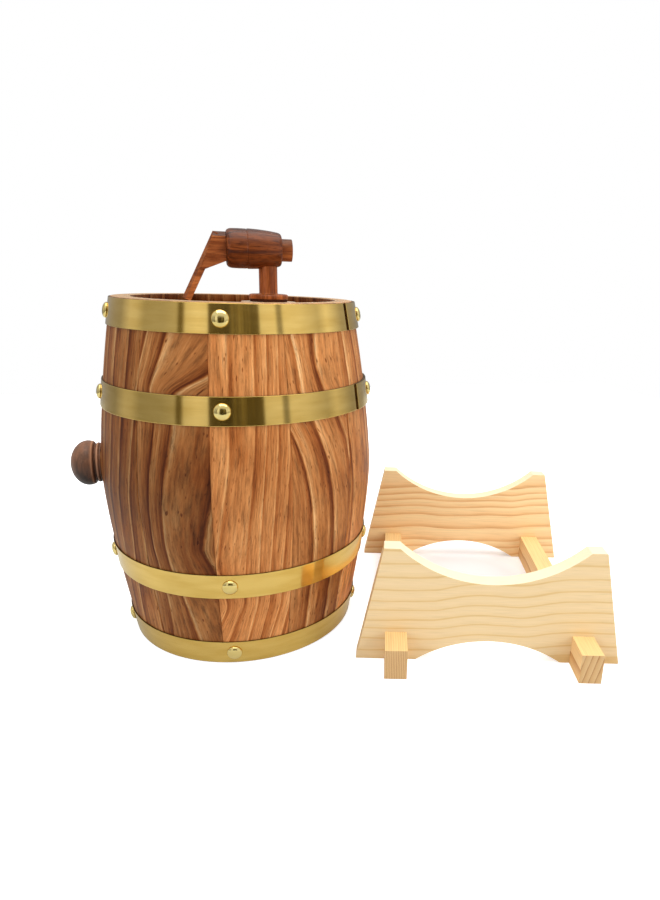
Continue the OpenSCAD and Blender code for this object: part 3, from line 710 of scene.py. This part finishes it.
# rubbed ridges weighted toward the top, plus a pale wash on the upper side: wear and painted light together
upward = 0.5 + 0.5 * py / np.maximum(np.hypot(px, py), 1e-6)
ridge = 0.8 * np.exp(-((ps - b - 5.6) / 0.7) ** 2) + 0.7 * np.exp(-((ps - b - 1.9) / 0.6) ** 2)
rubbed_and_painted_light = ridge * (0.2 + 0.8 * upward) + 0.25 * upward ** 2
put("bung_turned", points, faces, bung_wood, "bung", ["bung"], fields={"rubbed_and_painted_light": rubbed_and_painted_light.ravel()})

# ---- Tap washer and boss -------------------------------------------------------------
# A pale turned wooden disc lies on the head, and a thin dark washer between it and
# the tap's flange seals the joint.
finish_node("tap_boss", hardwood("boss_wood", tint(232, 206, 178), tint(214, 184, 150), "x", 0.5, 0.0, 0.3))
gasket_rubber, tree, shader = new_material("gasket_rubber")
place = node(tree, "ShaderNodeTexCoord").outputs["Object"]
dust = calc(tree, "ADD", grained(tree, place, (900, 900, 900), 3.0), 0.5)
dusty = ramp(tree, dust, [(0.3, tint(52, 24, 12)), (0.8, tint(78, 40, 24))])
tree.links.new(dusty, shader.inputs["Base Color"])
shader.inputs["Roughness"].default_value = 0.8
shader.inputs["Specular IOR Level"].default_value = 0.1
finish_node("tap_gasket", gasket_rubber)

# ---- Tap shank ---------------------------------------------------------------------
# The shank is turned in one with its flange; it stands in the head and carries
# the barrel. Satin lacquer over red-brown hardwood.
TAP_X, TAP_Z = 24.6, 295.8
BOSS_T, WASHER_T, SEAL_GAPS = 5.5, 1.9, 0.1
HEAD_TOP = CASK_H - RECESS
FLANGE_Z = HEAD_TOP + BOSS_T + WASHER_T + SEAL_GAPS
WATERWAY_R, TENON_IN, BARREL_SEAT = 3, 26, TAP_Z - 11.9
tap_wood_up = hardwood("tap_wood_up", tint(186, 106, 54), tint(120, 59, 22), "z", 0.36, 0.06, 0.6)
shank_profile = rounded([
    [WATERWAY_R, HEAD_TOP - TENON_IN], [6.4, HEAD_TOP - TENON_IN], [8, HEAD_TOP - 18], [8, FLANGE_Z + 0.05],
    [14.6, FLANGE_Z + 0.05], [15, FLANGE_Z + 0.7], [15, FLANGE_Z + 2.6], [14.2, FLANGE_Z + 3.6],
    [12.5, FLANGE_Z + 3.8], [7.5, FLANGE_Z + 3.8], [7.0, FLANGE_Z + 4.4], [6.95, FLANGE_Z + 15.5],
    [7, BARREL_SEAT], [WATERWAY_R, BARREL_SEAT], [WATERWAY_R, HEAD_TOP - TENON_IN]], 0.3, 2)
px, py, ps = turned(shank_profile)
points = np.stack([TAP_X + px, py, ps], -1)[:-1].reshape(-1, 3)
faces = grid_faces(len(ps) - 1, ps.shape[1], close_rows=True, close_cols=True).tolist()
put("tap_shank_turned", points, faces, tap_wood_up, "cask", ["tap_shank"])

# ---- Tap barrel ---------------------------------------------------------------------
# The barrel lies across the shank. It is turned fuller at the key end, with a
# fine groove behind its collar, and tapers to the spout.
BORE_R, BARREL_L, BARREL_BACK = 8.56, 40.6, 30.6
x0 = TAP_X - BARREL_BACK
# its facing shades darken the barrel underneath and on its top: painted shade
tap_wood_across = hardwood("tap_wood_across", tint(144, 75, 32), tint(74, 30, 9), "x", 0.3, 0.12, 0.7,
                           stain_and_painted_shade=(0.7, 1, 0.5))
barrel_profile = rounded([
    [BORE_R, x0], [11.8, x0], [13.1, x0 + 0.8], [13.9, x0 + 2.2], [14.2, x0 + 4], [14.35, x0 + 9],
    [14.3, x0 + 14.6], [13.95, x0 + 15.0], [14.5, x0 + 15.5], [14.45, x0 + 19], [14.2, x0 + 24],
    [13.6, x0 + 30.5], [12.7, x0 + 37.4], [12.1, x0 + 39.4], [11.1, x0 + BARREL_L], [BORE_R, x0 + BARREL_L],
    [BORE_R, x0 + 20], [BORE_R, x0]], 0.3, 2)
px, py, ps = turned(barrel_profile)
points = np.stack([ps, px, TAP_Z + py], -1)[:-1].reshape(-1, 3)
faces = grid_faces(len(ps) - 1, ps.shape[1], close_rows=True, close_cols=True).tolist()
put("tap_barrel_turned", points, faces, tap_wood_across, "cask", ["tap_barrel"])

# ---- Tap key ------------------------------------------------------------------------
# One piece turns in the barrel: plug and spout, a sawn block, and a flat lever
# let into the block with its outer edges chamfered.
# its facing shades: painted shade underneath; the much darker top is end grain taking the stain deeper
tap_wood_key = hardwood("tap_wood_key", tint(184, 108, 56), tint(118, 58, 23), "x", 0.38, 0.05, 0.6,
                        stain_and_painted_shade=(0.8, 1, 0.3))
finish_node("tap_key", tap_wood_key)

# ---- Stand ----------------------------------------------------------------------------
# Two sawn pine boards with a saddle cut on top and an arch between the feet,
# half-lapped over two rails. Planed, with no finish.
STAND_AT, STAND_TURN = (0.1684, -0.1334, 0.0), math.radians(-16.8)
stand_x = (math.cos(STAND_TURN), math.sin(STAND_TURN), 0)
stand_y = (-math.sin(STAND_TURN), math.cos(STAND_TURN), 0)
board_axes = (stand_x, stand_y, (0, 0, 1))
rail_axes = (stand_y, (0, 0, 1), stand_x)
front_tones = [(0.0, tint(220, 186, 128)), (0.05, tint(216, 180, 122)), (0.13, tint(227, 198, 147)),
               (0.5, tint(230, 203, 157)), (0.93, tint(228, 200, 152)), (1.0, tint(224, 192, 138))]
back_tones = [(0.0, tint(222, 168, 112)), (0.1, tint(232, 182, 124)), (0.3, tint(246, 206, 150)),
              (0.8, tint(250, 218, 166)), (1.0, tint(247, 210, 156))]
rail_tones = [(0.0, tint(198, 142, 86)), (0.25, tint(234, 190, 130)), (1.0, tint(244, 208, 152))]
# each board's ring lines by height at its left end, and how far they rise along it
# faces that look up are mixed toward pale cream: painted top light
finish_node("cradle_front", plank_wood(
    "front_pine", STAND_AT, board_axes, front_tones,
    lines=(0, 7, 17.1, 25.7, 32.5, 40.9, 48.4, 57.5, 67.3, 78.5, 89),
    wave=((-100, 0.0), (-42, 0.0), (-24, 0.45), (-5, 0.62), (18, 0.42), (31, 0.5), (46, 0.86), (62, 1.0),
          (100, 0.92)),
    lift=(6.0, 0.1), streak=0.1, gloss=0.5, waver=0.9, slope=0.1, painted_top_light=tint(252, 240, 205)))
finish_node("cradle_back", plank_wood(
    "back_pine", STAND_AT, board_axes, back_tones,
    lines=(0, 6, 16, 24, 31.5, 46, 60, 69, 76, 82, 89),
    wave=((-97, 0.0), (-74, 0.25), (-54, 0.5), (-38, 0.55), (-22, 0.25), (4, 0.3), (30, 0.6), (50, 0.38),
          (66, 0.85), (92, 1.0)),
    lift=(8.0, 0.0), streak=0.14, gloss=0.5, waver=0.8, slope=0.1, painted_top_light=tint(252, 238, 200)))
# the rails' upward faces get the same painted top light, by each rail's share; their end grain is darker
for name, slope, ring_mm, top_light_share in (("stand_rail_left", 0.05, 1.75, 0.5),
                                   ("stand_rail_right", -0.24, 4.6, 0.85)):
    finish_node(name, plank_wood(
        f"{name}_pine", STAND_AT, rail_axes, rail_tones, ring_mm, streak=0.16, gloss=0.5, waver=0.7,
        slope=slope, painted_top_light=tint(250, 216, 150), top_light_share=top_light_share, end_grain=(0.72, 0.7, 0.68)))

# ---- Floor, light and surroundings ---------------------------------------------------
# A white studio: pale floor, soft lamps left, right and behind, and a wide top light.
# The hoops mirror pale panels round the room and the dark gaps between them.
floor_z, floor_left, floor_right, floor_near, floor_far = -0.0002, -0.9, 1.1, -0.95, 1.05
floor_mesh = bpy.data.meshes.new("floor")
floor_corners = [(floor_left, floor_near, floor_z), (floor_right, floor_near, floor_z),
                 (floor_right, floor_far, floor_z), (floor_left, floor_far, floor_z)]
floor_mesh.from_pydata(floor_corners, [], [(0, 1, 2, 3)])
floor = bpy.data.objects.new("floor", floor_mesh)
scene.collection.objects.link(floor)
floor_white = bpy.data.materials.new("floor_white")
floor_white.use_nodes = True
tree = floor_white.node_tree
tree.nodes.clear()
# to the camera it glows white, less so where the stand's shadow lies
path = node(tree, "ShaderNodeLightPath")
shadow_at = (0.205, -0.01, floor_z)
place = node(tree, "ShaderNodeTexCoord").outputs["Object"]
away = node(tree, "ShaderNodeVectorMath", {0: place, 1: shadow_at}, operation="DISTANCE").outputs["Value"]
far_glow = ramp(tree, away, [(0.05, 0.08), (0.11, 0.6), (0.7, 1.0)])
seen = calc(tree, "MULTIPLY", path.outputs["Is Camera Ray"], far_glow)
paint = blend(tree, "MIX", path.outputs["Is Glossy Ray"], (0.8, 0.8, 0.82), (0.69, 0.71, 0.68))
matt = node(tree, "ShaderNodeBsdfDiffuse", {"Color": paint})
glow = node(tree, "ShaderNodeEmission", {"Color": (1, 1, 1, 1), "Strength": seen})
both = node(tree, "ShaderNodeAddShader")
tree.links.new(matt.outputs[0], both.inputs[0])
tree.links.new(glow.outputs[0], both.inputs[1])
out = node(tree, "ShaderNodeOutputMaterial")
tree.links.new(both.outputs[0], out.inputs[0])
floor_mesh.materials.append(floor_white)

world = bpy.data.worlds.new("studio")
scene.world = world
world.use_nodes = True
tree = world.node_tree
tree.nodes.clear()
path = node(tree, "ShaderNodeLightPath")
way = node(tree, "ShaderNodeSeparateXYZ", {0: node(tree, "ShaderNodeTexCoord").outputs["Generated"]})
azimuth = calc(tree, "ARCTAN2", way.outputs["Y"], way.outputs["X"])
turn = calc(tree, "MULTIPLY_ADD", azimuth, 0.5 / math.pi, 0.5)
height = calc(tree, "MULTIPLY_ADD", way.outputs["Z"], 0.5, 0.5)
# how bright the room is by azimuth, degrees; what is darker than the warm limit looks warm
panels = (
    (-180, 0.46), (-160, 0.46), (-147, 0.56), (-145, 0.16), (-141.5, 0.16), (-139, 0.85), (-128, 1.0),
    (-119.5, 0.92), (-118.3, 0.1), (-108, 0.08), (-101, 0.05), (-98, 0.17), (-95, 0.05), (-91, 0.2),
    (-87, 0.06), (-74.5, 0.14), (-73, 0.9), (-59, 1.0), (-57, 0.34), (-53.5, 0.34), (-51.5, 0.98),
    (-36, 0.95), (-14, 0.66), (-3, 1.0), (20, 0.48), (80, 0.45), (120, 0.5), (148, 0.4), (162, 0.74),
    (170, 0.7), (180, 0.46))
warm_below = 0.3
stops = [((deg + 180) / 360, (v, v ** 1.1, v ** 1.5) if v < warm_below else v) for deg, v in panels]
room = ramp(tree, turn, stops)
# fine warm slats in the widest dark gap, brighter above the horizon
slats = ramp(tree, turn, [(82 / 360, 0.0), (83 / 360, 0.2), (98 / 360, 0.2), (99 / 360, 0.0)])
slats = calc(tree, "MULTIPLY", slats, calc(tree, "SINE", calc(tree, "MULTIPLY", azimuth, 125.0)), clamp=True)
slats = calc(tree, "MULTIPLY", slats, calc(tree, "MULTIPLY_ADD", way.outputs["Z"], 8.0, 0.1, clamp=True))
room = blend(tree, "ADD", slats, room, (1.0, 0.85, 0.4))
room = blend(tree, "MULTIPLY", 1.0, room, ramp(tree, height, [(0.5, 0.7), (0.56, 1.0)]))
overhead = ramp(tree, height, [(0.66, 0.0), (0.78, 1.0)])
around = blend(tree, "MIX", overhead, room, (0.8, 0.8, 0.8))
# shiny pieces mirror the room, matt ones are lit by plain grey, and the camera sees white
lit = node(tree, "ShaderNodeBackground", {"Color": around, "Strength": 1.0})
plain = node(tree, "ShaderNodeBackground", {"Color": (0.9, 0.9, 0.9, 1), "Strength": 0.55})
white = node(tree, "ShaderNodeBackground", {"Color": (1, 1, 1, 1), "Strength": 1.0})
first = node(tree, "ShaderNodeMixShader", {0: path.outputs["Is Glossy Ray"]})
tree.links.new(plain.outputs[0], first.inputs[1])
tree.links.new(lit.outputs[0], first.inputs[2])
second = node(tree, "ShaderNodeMixShader", {0: path.outputs["Is Camera Ray"]})
tree.links.new(first.outputs[0], second.inputs[1])
tree.links.new(white.outputs[0], second.inputs[2])
out = node(tree, "ShaderNodeOutputWorld")
tree.links.new(second.outputs[0], out.inputs[0])


def lamp(name, at, toward, size, power, mirrored=False):
    """A rectangular soft lamp aimed at a point; the brass mirrors it only if told to."""
    data = bpy.data.lights.new(name, "AREA")
    data.shape = "RECTANGLE"
    data.size, data.size_y = size
    data.energy = power
    made = bpy.data.objects.new(name, data)
    made.location = at
    made.rotation_euler = (Vector(toward) - Vector(at)).to_track_quat("-Z", "Y").to_euler()
    made.visible_glossy = mirrored
    scene.collection.objects.link(made)


lamp("top_light", (0.1, -0.1, 1.5), (0.1, 0, 0.1), (1.6, 1.4), 16, mirrored=True)
lamp("left_light", (-1.3, -0.9, 0.75), (0, 0, 0.12), (0.8, 1.0), 8)
lamp("right_light", (1.2, -1.1, 0.7), (0.1, 0, 0.12), (0.9, 1.1), 12)
lamp("back_light", (0.35, 1.1, 0.9), (0.2, 0, 0.03), (0.3, 0.3), 5)
